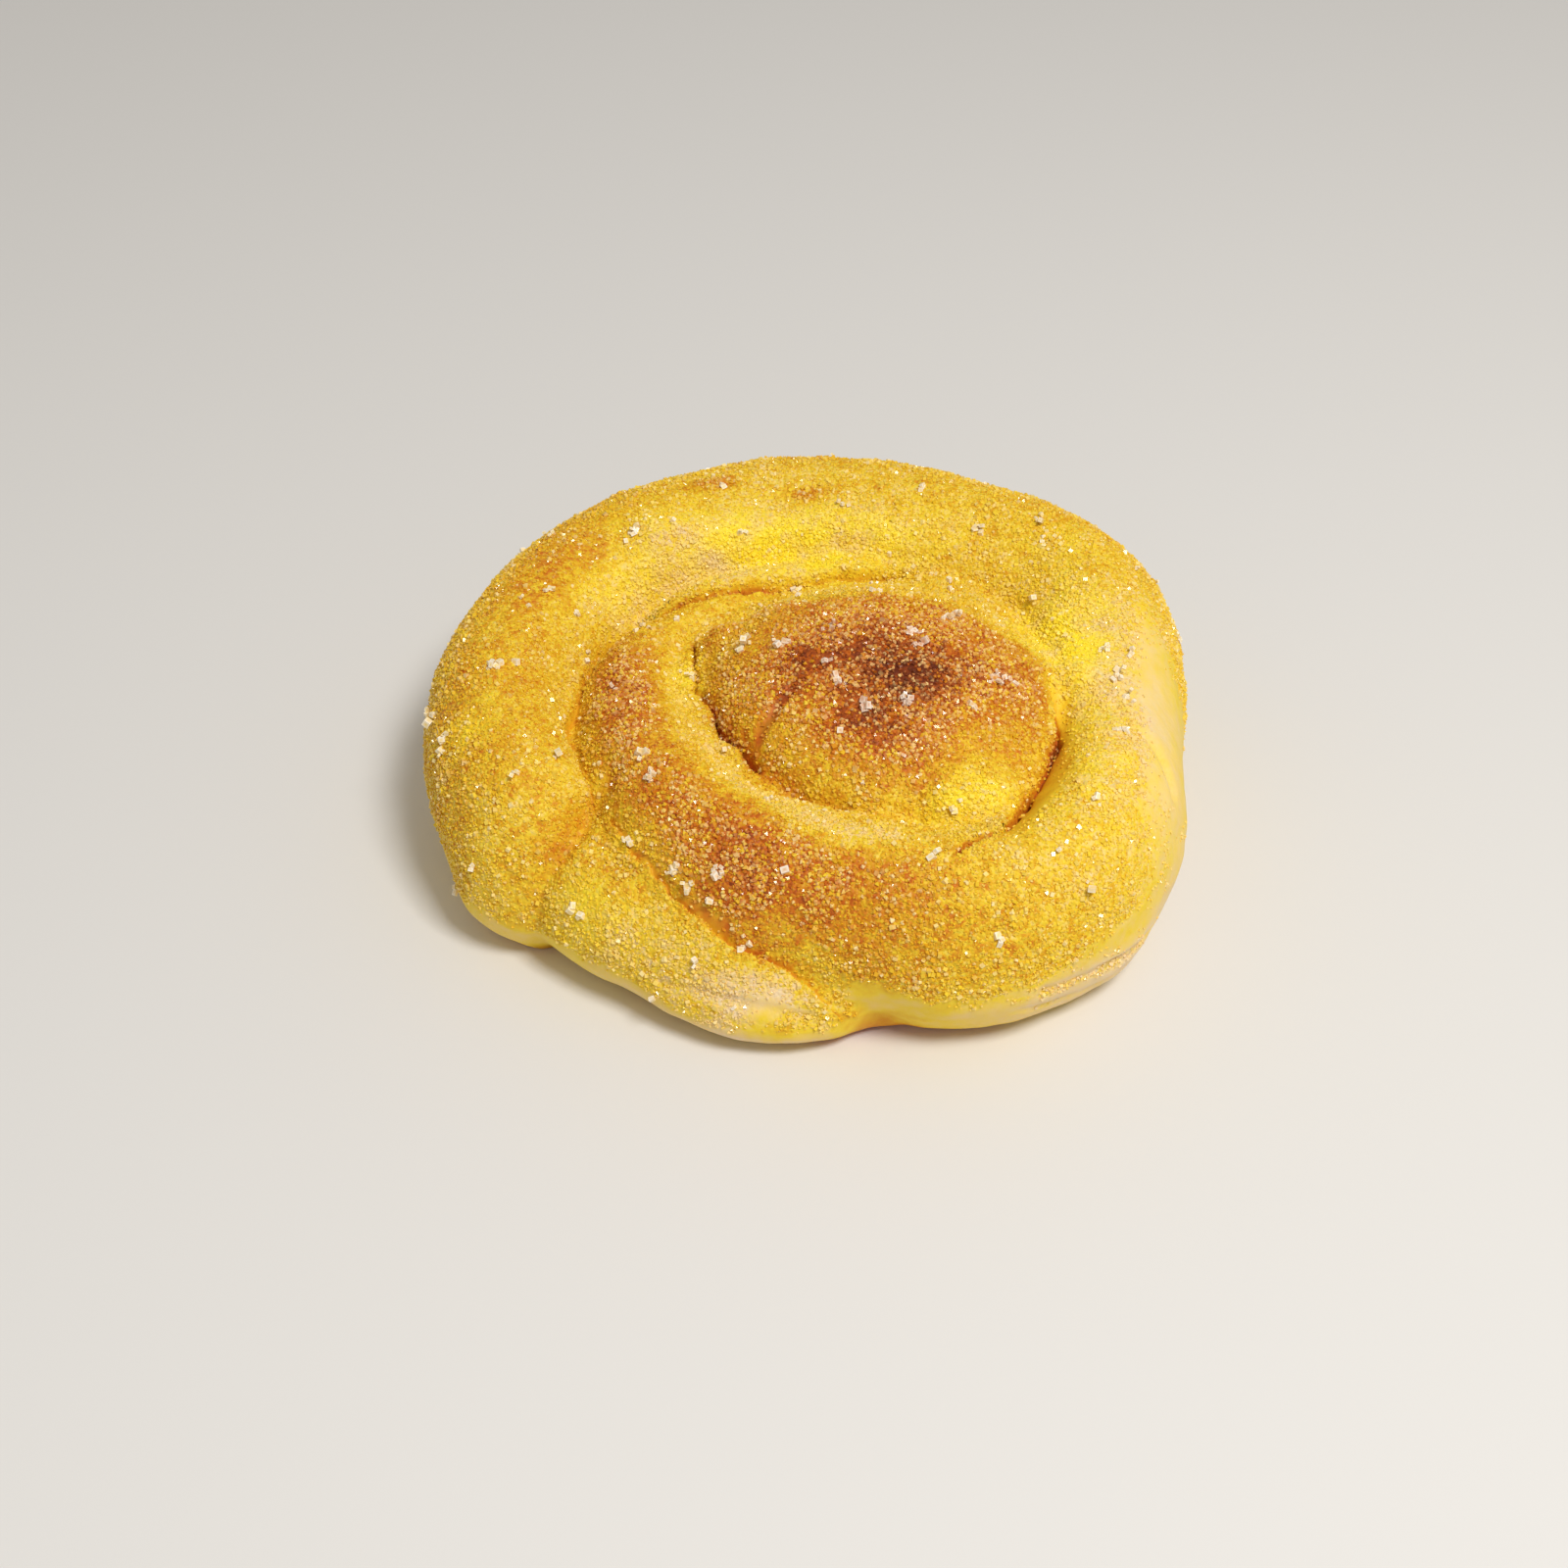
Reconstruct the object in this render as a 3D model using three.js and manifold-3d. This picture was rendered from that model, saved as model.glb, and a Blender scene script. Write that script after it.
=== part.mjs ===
// An ensaymada: one rope of sweet dough coiled flat and baked, then rolled in coarse sugar.
// Millimetres, +Z up. The bun rests on z = 0 and its box is centred on the Z axis.
import * as THREE from 'three';
import { LoftGeometry } from 'three/addons/geometries/LoftGeometry.js';
import { mergeVertices } from 'three/addons/utils/BufferGeometryUtils.js';
import Module from 'manifold-3d';

// The coil runs clockwise seen from above, from the tail tip at the front to the heart.
const COIL_CENTRE = new THREE.Vector2(6.4, -6.3);
const FRONT_DEG = -90;
const COIL_TALL = 1.45; // height of the rope's upper half over half its width
const COIL_SINK = 1.2; // depth of the round underside that is pressed flat by the tray
const TAIL_TALL = 1.1;
const TAIL_SINK = 0.6;
const TIP_ROUNDING = 11; // length over which a rope end is rounded off
const TIP_LEAST = 0.12; // share of the full section left at the very end
const TIP_CREST = 0.4; // share of the full height left at the very end

// Stations of the rope: turn in degrees from the front, then in millimetres the coil's radius,
// half the rope's width and the height of its crest. The tail is the low flattened end that
// the coil folds down to and then runs over at the front.
const TAIL_STATIONS = [
  { turn: -17, radius: 34.5, half: 7, crest: 9 }, // tip, tucked under the front
  { turn: -2, radius: 35.8, half: 8.5, crest: 12.5 },
  { turn: 12, radius: 36.8, half: 9.6, crest: 15.5 },
  { turn: 35, radius: 38, half: 10.4, crest: 18.5 },
  { turn: 60, radius: 41, half: 10.6, crest: 20.5 },
  { turn: 85, radius: 46, half: 9.5, crest: 20 }, // inside the fold
];
const COIL_STATIONS = [
  { turn: 55, radius: 45.4, half: 10.6, crest: 25 }, // fold over the tail
  { turn: 75, radius: 47.7, half: 11.1, crest: 28 },
  { turn: 95, radius: 49.2, half: 11.7, crest: 30 }, // left
  { turn: 130, radius: 49, half: 13, crest: 31.5 },
  { turn: 165, radius: 46, half: 14, crest: 33 }, // back
  { turn: 200, radius: 42, half: 14, crest: 33.2 },
  { turn: 235, radius: 41.5, half: 13, crest: 33 },
  { turn: 255, radius: 37.6, half: 11.5, crest: 31.5 },
  { turn: 275, radius: 35.4, half: 11, crest: 30 }, // right
  { turn: 300, radius: 37.3, half: 11.9, crest: 29.5 },
  { turn: 322, radius: 40, half: 10.4, crest: 28.8 },
  { turn: 340, radius: 37, half: 11.5, crest: 28 },
  { turn: 360, radius: 32, half: 12, crest: 27.5 }, // front, over the tail
  { turn: 390, radius: 31.5, half: 12, crest: 28.5 },
  { turn: 412, radius: 31, half: 12.2, crest: 29 },
  { turn: 432, radius: 30, half: 12.2, crest: 28.8 },
  { turn: 457, radius: 31, half: 10, crest: 27.8 }, // left, inner turn
  { turn: 482, radius: 31, half: 7, crest: 26 },
  { turn: 505, radius: 29, half: 5, crest: 25 },
  { turn: 545, radius: 25, half: 4, crest: 23 }, // thin end behind the heart
];
// Dough that has risen into the hollow between the outer turn and the heart, behind and beside it.
const RISEN_TALL = 1.1;
const RISEN_STATIONS = [
  { turn: 132, radius: 39, half: 5, crest: 25 }, // back left
  { turn: 152, radius: 35, half: 6.5, crest: 26.5 },
  { turn: 169, radius: 32.5, half: 7, crest: 26.2 }, // back
  { turn: 187, radius: 31, half: 7, crest: 26.6 },
  { turn: 215, radius: 28.8, half: 6.5, crest: 27.8 },
  { turn: 251, radius: 28.3, half: 5.5, crest: 29 },
  { turn: 272, radius: 28.6, half: 5, crest: 28.8 }, // right
  { turn: 288, radius: 28.6, half: 4, crest: 27.5 },
];
const LENGTH_TURN = 140; // most turn in one length of rope, so that none meets itself
const STEP_TURN = 4.5;
const SECTION_POINTS = 30;
const LAP_SHARE = 0.6; // each length ends in a smaller lap inside the next one

// The heart of the coil: an oval dome, longest from back left to front right, which bulges to the
// front right and runs to a corner at the left. A dome is widest at its shoulder, and its power
// is 2 for an ellipse and more for a fuller one.
const HEART = {
  centre: new THREE.Vector2(10.2, -8),
  halfLength: 28,
  halfWidth: 25,
  turnDeg: -42,
  top: 35.5,
  shoulder: 18,
  power: 2.2,
  steps: 11,
  sides: 44,
};
const HEART_BULGE = {
  ...HEART,
  centre: new THREE.Vector2(19.5, -26),
  halfLength: 11,
  halfWidth: 10,
  top: 30.5,
  steps: 8,
  sides: 30,
};
const HEART_CORNER = {
  ...HEART_BULGE,
  centre: new THREE.Vector2(-8.5, 1.5),
  halfLength: 10,
  halfWidth: 7.5,
  turnDeg: -34,
  top: 29.5,
};

// Dough risen together under the turns, which makes the grooves shallow, and the plug of dough
// that closes the underside, inside the middle lines of the tail and then of the outer turn.
const CORE = {
  centre: new THREE.Vector2(5.4, -5.3),
  halfLength: 38,
  halfWidth: 36,
  turnDeg: 0,
  top: 27,
  shoulder: 4,
  power: 3,
  steps: 8,
  sides: 36,
};
const PLUG_TAIL_TURNS = [-12, 60];
const PLUG_COIL_TURNS = [66, 348];
const PLUG_STEP = 6;
const PLUG_TOP = 9;
const PLUG_BELOW_FLOOR = 1;

// The largest sugar crystals, set evenly over the top and sunk into it.
const LUMP_COUNT = 84;
const LUMP_LEAST = 1.3;
const LUMP_MOST = 2.5;
const LUMP_SINK = 0.3; // share of a crystal's side that is below the dough's skin
const LUMP_SPREAD = 50; // radius of the round patch they fall on
const LUMP_JITTER = 3.2;
const LUMP_STEEPEST = 0.42; // least upward part of the skin's direction where sugar stays
const LUMP_WIDTH = 0.9; // shares of its length
const LUMP_HEIGHT = 0.8;
const LUMP_SEED = 29;
const GOLDEN_ANGLE = Math.PI * (3 - Math.sqrt(5));

const CUT_SIZE = 200;
const WELD = 1e-4;
const DRAW_FACTOR = 16807; // the minimal standard generator
const DRAW_RANGE = 2147483647;

const wasm = await Module();
wasm.setup();

// A repeatable draw of numbers from 0 to 1.
function makeDraw(seed) {
  let state = seed;
  return () => {
    state = (state * DRAW_FACTOR) % DRAW_RANGE;
    return state / DRAW_RANGE;
  };
}

function solid(geometry) {
  const bare = new THREE.BufferGeometry().copy(geometry);
  bare.deleteAttribute('normal');
  bare.deleteAttribute('uv');
  const welded = mergeVertices(bare, WELD);
  const corners = welded.index.array;
  const triVerts = [];
  for (let i = 0; i < corners.length; i += 3) {
    const [a, b, c] = corners.slice(i, i + 3);
    if (a !== b && b !== c && c !== a) triVerts.push(a, b, c);
  }
  return new wasm.Manifold(
    new wasm.Mesh({
      numProp: 3,
      vertProperties: welded.attributes.position.array,
      triVerts: new Uint32Array(triVerts),
    }),
  );
}

function geometryOf(manifold) {
  const mesh = manifold.getMesh();
  const geometry = new THREE.BufferGeometry();
  geometry.setAttribute('position', new THREE.BufferAttribute(mesh.vertProperties, 3));
  geometry.setIndex(new THREE.BufferAttribute(mesh.triVerts, 1));
  geometry.computeVertexNormals();
  return geometry;
}

// Share of the full section that is left near a rope end, by the way along the rope to it.
function endShare(along) {
  const left = 1 - Math.min(along / TIP_ROUNDING, 1);
  return Math.max(Math.sqrt(1 - left * left), TIP_LEAST);
}

// The rope's sizes at any turn, on a smooth curve through its stations.
function ropeSizes(stations) {
  return new THREE.CubicInterpolant(
    stations.map((station) => station.turn),
    stations.flatMap(({ radius, half, crest }) => [radius, half, crest]),
    3,
  );
}

// The place in plan at a turn of the coil.
function coilPlace(turn, radius) {
  const heading = THREE.MathUtils.degToRad(FRONT_DEG - turn);
  return new THREE.Vector2(Math.cos(heading), Math.sin(heading))
    .multiplyScalar(radius)
    .add(COIL_CENTRE);
}

// One section of the rope, as a ring of points that starts at its outer side: an oval whose
// lower half is flattened to the given bottom.
function ropeSection({ turn, radius, half, crest, middle, bottom, size }) {
  const ring = [];
  for (let i = 0; i < SECTION_POINTS; i++) {
    const round = (i / SECTION_POINTS) * 2 * Math.PI;
    const place = coilPlace(turn, radius + half * size * Math.cos(round));
    const up = size * Math.sin(round);
    const reach = up > 0 ? crest - middle : middle - bottom;
    ring.push(new THREE.Vector3(place.x, place.y, middle + reach * up));
  }
  return ring;
}

// A rope with rounded ends through its stations, joined from lengths shorter than a whole turn.
function rope({ stations, tall, sink }) {
  const firstTurn = stations[0].turn;
  const lastTurn = stations[stations.length - 1].turn;
  const sizes = ropeSizes(stations);
  const sectionAt = (turn, size = 1) => {
    const [radius, fullHalf, fullCrest] = sizes.evaluate(turn);
    const degrees = Math.min(turn - firstTurn, lastTurn - turn);
    const share = endShare(THREE.MathUtils.degToRad(degrees) * radius);
    const half = fullHalf * share;
    const crest = fullCrest * THREE.MathUtils.lerp(TIP_CREST, 1, share);
    const middle = crest - half * tall;
    const bottom = Math.max(middle - half * tall, -sink);
    return ropeSection({ turn, radius, half, crest, middle, bottom, size });
  };
  const lengths = Math.ceil((lastTurn - firstTurn) / LENGTH_TURN);
  let joined = null;
  for (let k = 0; k < lengths; k++) {
    const from = THREE.MathUtils.lerp(firstTurn, lastTurn, k / lengths);
    const to = THREE.MathUtils.lerp(firstTurn, lastTurn, (k + 1) / lengths);
    const steps = Math.ceil((to - from) / STEP_TURN);
    const sections = [];
    for (let i = 0; i <= steps; i++) {
      sections.push(sectionAt(THREE.MathUtils.lerp(from, to, i / steps)));
    }
    if (to < lastTurn) sections.push(sectionAt(to + STEP_TURN, LAP_SHARE));
    const length = solid(
      new LoftGeometry(sections, { closed: true, capStart: true, capEnd: true }),
    );
    joined = joined ? joined.add(length) : length;
  }
  return joined;
}

// The plan line that a rope's middle follows between two turns.
function middleLine(stations, [firstTurn, lastTurn]) {
  const sizes = ropeSizes(stations);
  const line = [];
  for (let turn = firstTurn; turn <= lastTurn; turn += PLUG_STEP) {
    line.push(coilPlace(turn, sizes.evaluate(turn)[0]));
  }
  return line;
}

// The plug: the plan inside the middle lines over one whole turn, as a low slab.
function plug() {
  const outline = new THREE.Shape([
    ...middleLine(TAIL_STATIONS, PLUG_TAIL_TURNS),
    ...middleLine(COIL_STATIONS, PLUG_COIL_TURNS),
  ]);
  const slab = new THREE.ExtrudeGeometry(outline, {
    depth: PLUG_TOP + PLUG_BELOW_FLOOR,
    bevelEnabled: false,
  });
  slab.translate(0, 0, -PLUG_BELOW_FLOOR);
  return slab;
}

// An oval dome with upright sides below its shoulder, standing on the floor.
function dome({ centre, halfLength, halfWidth, turnDeg, top, shoulder, power, steps, sides }) {
  const profile = [new THREE.Vector2(0, 0), new THREE.Vector2(1, 0)];
  for (let i = 0; i <= steps; i++) {
    const out = Math.cos((i / steps) * (Math.PI / 2));
    const up = Math.pow(Math.max(1 - Math.pow(out, power), 0), 1 / power);
    const reach = i === steps ? 0 : out;
    profile.push(new THREE.Vector2(reach, shoulder + (top - shoulder) * up));
  }
  const geometry = new THREE.LatheGeometry(profile, sides);
  geometry.rotateX(Math.PI / 2);
  geometry.scale(halfLength, halfWidth, 1);
  geometry.rotateZ(THREE.MathUtils.degToRad(turnDeg));
  geometry.translate(centre.x, centre.y, 0);
  return geometry;
}

const heart = wasm.Manifold.hull(
  [HEART, HEART_BULGE, HEART_CORNER].map((form) => solid(dome(form))),
);
let dough = solid(plug())
  .add(solid(dome(CORE)))
  .add(heart)
  .add(rope({ stations: TAIL_STATIONS, tall: TAIL_TALL, sink: TAIL_SINK }))
  .add(rope({ stations: COIL_STATIONS, tall: COIL_TALL, sink: COIL_SINK }))
  .add(rope({ stations: RISEN_STATIONS, tall: RISEN_TALL, sink: COIL_SINK }));

// Flat underside
const belowFloor = new THREE.BoxGeometry(CUT_SIZE, CUT_SIZE, CUT_SIZE);
belowFloor.translate(0, 0, -CUT_SIZE / 2);
dough = dough.subtract(solid(belowFloor));

// Sugar crystals
const draw = makeDraw(LUMP_SEED);
const skin = new THREE.Mesh(geometryOf(dough), new THREE.MeshBasicMaterial());
skin.updateMatrixWorld(true);
const ray = new THREE.Raycaster();
const down = new THREE.Vector3(0, 0, -1);
let sugared = dough;
for (let i = 0; i < LUMP_COUNT; i++) {
  const reach = LUMP_SPREAD * Math.sqrt((i + 0.5) / LUMP_COUNT);
  const x = reach * Math.cos(i * GOLDEN_ANGLE) + LUMP_JITTER * (draw() - 0.5);
  const y = reach * Math.sin(i * GOLDEN_ANGLE) + LUMP_JITTER * (draw() - 0.5);
  const size = LUMP_LEAST + (LUMP_MOST - LUMP_LEAST) * draw() * draw();
  const lie = new THREE.Euler(Math.PI * draw(), Math.PI * draw(), Math.PI * draw());
  ray.set(new THREE.Vector3(x, y, CUT_SIZE), down);
  const [hit] = ray.intersectObject(skin);
  if (!hit || hit.face.normal.z < LUMP_STEEPEST) continue;
  const crystal = new THREE.BoxGeometry(size, size * LUMP_WIDTH, size * LUMP_HEIGHT);
  crystal.applyMatrix4(new THREE.Matrix4().makeRotationFromEuler(lie));
  const seat = hit.point.clone().addScaledVector(hit.face.normal, size * (0.5 - LUMP_SINK));
  crystal.translate(seat.x, seat.y, seat.z);
  sugared = sugared.add(solid(crystal));
}

// The finished bun, centred over the origin
const bunGeometry = geometryOf(sugared);
bunGeometry.computeBoundingBox();
const middle = bunGeometry.boundingBox.getCenter(new THREE.Vector3());
bunGeometry.translate(-middle.x, -middle.y, -bunGeometry.boundingBox.min.z);

const bakedDough = new THREE.MeshStandardMaterial({
  name: 'sugared baked dough',
  color: 0xdda23a,
  roughness: 0.7,
  metalness: 0,
});
const bun = new THREE.Mesh(bunGeometry, bakedDough);
bun.name = 'bun';

const ensaymada = new THREE.Group();
ensaymada.name = 'ensaymada';
ensaymada.add(bun);

export default ensaymada;
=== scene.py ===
import math

import bpy
import numpy as np
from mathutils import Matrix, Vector, noise


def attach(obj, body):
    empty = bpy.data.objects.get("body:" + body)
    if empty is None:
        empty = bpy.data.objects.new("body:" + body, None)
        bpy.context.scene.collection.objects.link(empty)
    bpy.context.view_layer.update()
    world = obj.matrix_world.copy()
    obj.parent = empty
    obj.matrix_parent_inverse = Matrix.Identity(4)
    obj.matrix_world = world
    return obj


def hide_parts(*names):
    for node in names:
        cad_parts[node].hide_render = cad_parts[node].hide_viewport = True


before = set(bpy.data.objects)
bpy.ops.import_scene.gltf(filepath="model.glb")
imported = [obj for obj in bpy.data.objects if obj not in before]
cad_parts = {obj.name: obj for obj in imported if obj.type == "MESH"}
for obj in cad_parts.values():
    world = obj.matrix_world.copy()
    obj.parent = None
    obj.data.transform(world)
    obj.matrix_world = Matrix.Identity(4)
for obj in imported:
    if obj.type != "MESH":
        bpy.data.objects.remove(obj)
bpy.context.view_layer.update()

# The dough: a soft rope of egg-rich sweet dough, rolled out, coiled flat around itself and baked.
# The turns rise into each other in the oven, so that the grooves are shallow, the crests brown
# and the stretched sides stay pale.
MM = 0.001
COIL_CENTRE = np.array([6.4, -6.3])
FRONT = math.radians(-90)
ROPE_STEP = 1.5  # degrees of turn between points of the rope's path
ROPE_ROUNDNESS = 12  # bevel resolution of the rope's section
TIP_ROUNDING = 11  # mm of rope over which an end is rounded off
TIP_LEAST = 0.01  # share of that length at which the end is cut blunt
TIP_CREST = 0.4  # share of its height that the crest keeps at the tip
# Turn in degrees clockwise from the front, then coil radius, half width and crest height in mm.
TAIL_STATIONS = np.array([
    (-17, 34.5, 7, 9),
    (-2, 35.8, 8.5, 12.5),
    (12, 36.8, 9.6, 15.5),
    (35, 38, 10.4, 18.5),
    (60, 41, 10.6, 20.5),
    (85, 46, 9.5, 20),
])
COIL_STATIONS = np.array([
    (55, 45.4, 10.6, 25),
    (75, 47.7, 11.1, 28),
    (95, 49.2, 11.7, 30),
    (130, 49, 13, 31.5),
    (165, 46, 14, 33),
    (200, 42, 14, 33.2),
    (235, 41.5, 13, 33),
    (255, 37.6, 11.5, 31.5),
    (275, 35.4, 11, 30),
    (300, 37.3, 11.9, 29.5),
    (322, 40, 10.4, 28.8),
    (340, 37, 11.5, 28),
    (360, 32, 12, 27.5),
    (390, 31.5, 12, 28.5),
    (412, 31, 12.2, 29),
    (432, 30, 12.2, 28.8),
    (457, 31, 10, 27.8),
    (482, 31, 7, 26),
    (505, 29, 5, 25),
    (545, 25, 4, 23),
])
TAIL_TALL = 1.1  # how much taller than wide the rope's section is
COIL_TALL = 1.45
TAIL_SINK = 0.6  # mm of the round underside that is pressed flat by the tray
COIL_SINK = 1.2
# Domes of dough: centre and half size in mm, turn in degrees, and the power of the outline, of
# which 2 gives an oval ball and more gives a fuller shoulder.
HEART = ((10.2, -8, 18), (28, 25, 17.5), -42, 2.2)
HEART_BULGE = ((19.5, -26, 18), (11, 10, 12.5), -42, 2.2)  # at the front right
HEART_CORNER = ((-8.5, 1.5, 18), (10, 7.5, 11.5), -34, 2.2)  # at the left
CORE = ((5.4, -5.3, 4), (38, 36, 23), 0, 3)  # the dough under the heart
DOME_SEGMENTS = 64
DOME_RINGS = 48
PLUG_TAIL_TURNS = (-12, 60)  # the plug underneath ends at the middle of the tail and of the coil
PLUG_COIL_TURNS = (66, 348)
PLUG_TOP = 9  # mm
SKIN_VOXEL = 0.6  # mm between points of the joined skin
SKIN_PASSES = 5  # of smoothing, after the lumps are joined
RELAX_FACTOR = 0.5  # strength of one pass
MERGE = 1e-6  # m within which points are one


def through_stations(stations, turns):
    """Radius, half width and crest at each turn, on a smooth curve through the stations."""
    at = stations[:, 0]
    slope = np.gradient(stations, at, axis=0)
    k = np.clip(np.searchsorted(at, turns, side="right") - 1, 0, len(at) - 2)
    span = (at[k + 1] - at[k])[:, None]
    u = (turns - at[k])[:, None] / span
    start = (1 + 2 * u) * (1 - u) ** 2 * stations[k] + u * (1 - u) ** 2 * span * slope[k]
    end = u**2 * (3 - 2 * u) * stations[k + 1] + u**2 * (u - 1) * span * slope[k + 1]
    return (start + end)[:, 1:].T


def coil_place(turns, radius):
    """Places in plan, in mm, at the given turns of the coil."""
    heading = FRONT - np.radians(turns)
    return COIL_CENTRE + radius[:, None] * np.stack([np.cos(heading), np.sin(heading)], axis=1)


def lay_path(places):
    """A path of short straight stretches through places in mm."""
    bpy.ops.curve.primitive_nurbs_path_add()
    path = bpy.context.object
    spline = path.data.splines[0]
    spline.type = "POLY"
    spline.points.add(len(places) - len(spline.points))
    spline.points.foreach_set("co", np.column_stack([places * MM, np.ones(len(places))]).ravel())
    return path


def read_vectors(items, name):
    """A vector of all points or faces of a mesh, such as the place or the normal, a row for each."""
    flat = np.empty(len(items) * 3)
    items.foreach_get(name, flat)
    return flat.reshape(-1, 3)


def move_points(mesh, places):
    """Moves all points of a mesh to places in mm."""
    mesh.vertices.foreach_set("co", (places * MM).ravel())
    mesh.update()


def dough_rope(stations, tall, sink):
    """A rope laid along its coil as a bevelled path, thinned to round ends, as a mesh."""
    turns = np.append(np.arange(stations[0, 0], stations[-1, 0], ROPE_STEP), stations[-1, 0])
    radius, half, crest = through_stations(stations, turns)
    to_end = np.minimum(turns - turns[0], turns[-1] - turns)
    from_tip = np.clip(np.radians(to_end) * radius / TIP_ROUNDING, TIP_LEAST, 1)
    share = np.sqrt(1 - (1 - from_tip) ** 2)
    half = half * share
    crest = crest * (TIP_CREST + (1 - TIP_CREST) * share)
    rope = lay_path(np.column_stack([coil_place(turns, radius), crest / tall - half]))
    rope.data.splines[0].points.foreach_set("radius", half)
    rope.data.bevel_depth = MM
    rope.data.bevel_resolution = ROPE_ROUNDNESS
    rope.data.twist_mode = "Z_UP"
    bpy.ops.object.convert(target="MESH")
    bpy.ops.object.mode_set(mode="EDIT")
    bpy.ops.mesh.select_all(action="SELECT")
    bpy.ops.transform.resize(value=(1, 1, tall), center_override=(0, 0, 0))
    bpy.ops.object.mode_set(mode="OBJECT")
    places = read_vectors(rope.data.vertices, "co") / MM
    z = places[:, 2].reshape(len(turns), -1)
    deep = (half * tall)[:, None]
    middle = crest[:, None] - deep
    room = np.minimum(deep, middle + sink)
    places[:, 2] = np.where(z < middle, middle - (middle - z) * room / deep, z).ravel()
    move_points(rope.data, places)
    bpy.ops.object.mode_set(mode="EDIT")
    bpy.ops.mesh.select_all(action="SELECT")
    bpy.ops.mesh.fill_holes(sides=0)
    bpy.ops.mesh.normals_make_consistent(inside=False)
    bpy.ops.object.mode_set(mode="OBJECT")
    return rope


def dough_dome(centre, half_size, turn, power):
    """An oval ball of dough with full shoulders, from a sphere."""
    bpy.ops.mesh.primitive_uv_sphere_add(
        segments=DOME_SEGMENTS,
        ring_count=DOME_RINGS,
        radius=MM,
        location=[c * MM for c in centre],
        rotation=(0, 0, math.radians(turn)),
    )
    dome = bpy.context.object
    dome.scale = half_size
    unit = read_vectors(dome.data.vertices, "co") / MM
    out = np.clip(np.linalg.norm(unit[:, :2], axis=1), 0, 1)
    unit[:, 2] = np.sign(unit[:, 2]) * (1 - out**power) ** (1 / power)
    move_points(dome.data, unit)
    bpy.ops.object.transform_apply(location=True, rotation=True, scale=True)
    return dome


def dough_plug():
    """The dough that closes the underside: the plan inside the ropes' middle lines, as a slab."""
    lines = []
    for stations, span in ((TAIL_STATIONS, PLUG_TAIL_TURNS), (COIL_STATIONS, PLUG_COIL_TURNS)):
        turns = np.arange(*span, ROPE_STEP)
        middle = coil_place(turns, through_stations(stations, turns)[0])
        lines.append(np.column_stack([middle, np.zeros(len(turns))]))
    plug = lay_path(np.concatenate(lines))
    plug.data.dimensions = "2D"
    plug.data.fill_mode = "BOTH"
    plug.data.extrude = PLUG_TOP * MM
    plug.data.splines[0].use_cyclic_u = True
    bpy.ops.object.convert(target="MESH")
    bpy.ops.object.mode_set(mode="EDIT")
    bpy.ops.mesh.select_all(action="SELECT")
    bpy.ops.mesh.remove_doubles(threshold=MERGE)
    bpy.ops.mesh.normals_make_consistent(inside=False)
    bpy.ops.object.mode_set(mode="OBJECT")
    return plug


bpy.ops.object.select_all(action="DESELECT")
lumps_of_dough = [
    dough_rope(TAIL_STATIONS, TAIL_TALL, TAIL_SINK),
    dough_rope(COIL_STATIONS, COIL_TALL, COIL_SINK),
    dough_dome(*HEART),
    dough_dome(*CORE),
    dough_plug(),
    dough_dome(*HEART_BULGE),
    dough_dome(*HEART_CORNER),
]
bpy.ops.object.select_all(action="DESELECT")
for lump in lumps_of_dough:
    lump.select_set(True)
dough = lumps_of_dough[0]
bpy.context.view_layer.objects.active = dough
bpy.ops.object.join()
dough.name = "dough"
dough.data.name = "dough"


def relax(passes, group=""):
    """Smooths the skin of the dough, over all of it or over one group of its points."""
    smooth = dough.modifiers.new("relax", "SMOOTH")
    smooth.factor = RELAX_FACTOR
    smooth.iterations = passes
    smooth.vertex_group = group
    bpy.ops.object.modifier_apply(modifier="relax")


rise = dough.modifiers.new("rise", "REMESH")
rise.mode = "VOXEL"
rise.voxel_size = SKIN_VOXEL * MM
bpy.ops.object.modifier_apply(modifier="rise")
relax(SKIN_PASSES)
bpy.ops.object.mode_set(mode="EDIT")
bpy.ops.mesh.select_all(action="SELECT")
bpy.ops.mesh.bisect(
    plane_co=(0, 0, 0), plane_no=(0, 0, 1), use_fill=True, clear_inner=True, threshold=MERGE
)
bpy.ops.object.mode_set(mode="OBJECT")
bpy.ops.object.shade_smooth()

# What rising and baking do to the skin. A pair of heights in mm, or of upward parts of the
# normal, says where something has faded out and where it is full.

# Hollows that the rising dough has filled: half width and height in mm, and the line in plan.
FILLS = [
    (5, 5, [(-20, 22), (-10, 24.5), (0, 25.5), (10, 24.5)]),
    (4.5, 4, [(10, 24.5), (16, 22), (23, 17), (28, 11)]),
    (3.8, 3.4, [(28, 11), (33, 3), (35, -7)]),
]
FILL_FACING = (-0.2, 0.4)
FILL_LEAST = 0.2  # mm of filling from which on the skin is smoothed
FILL_PASSES = 25
# Where the lower edge is drawn in, or swells out if less than 0: place in plan, reach and mm.
TUCKS = [
    ((9.5, -53), 5.5, 3),
    ((-7, -52), 8, -1.2),
    ((-17, -50), 7, -1.5),
    ((46, -42), 9, -1.5),
    ((-45, -33), 8, -1.5),
]
TUCK_HEIGHTS = (14, 2)
# Swells of the whole skin: mm that they rise, mm between them, and a shift of the noise.
SWELLS = [(0.55, 16, 0), (0.25, 6, 5), (0.1, 2.4, 9)]
SWELL_HEIGHTS = (0, 2)
# How lines on the skin sway: mm of sway, mm between sways, and the noise's shifts in x and y.
LINE_SWAYS = [(0.5, 2.2), (0.7, 7)]
LINE_SHIFTS = (0, 31)
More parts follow.
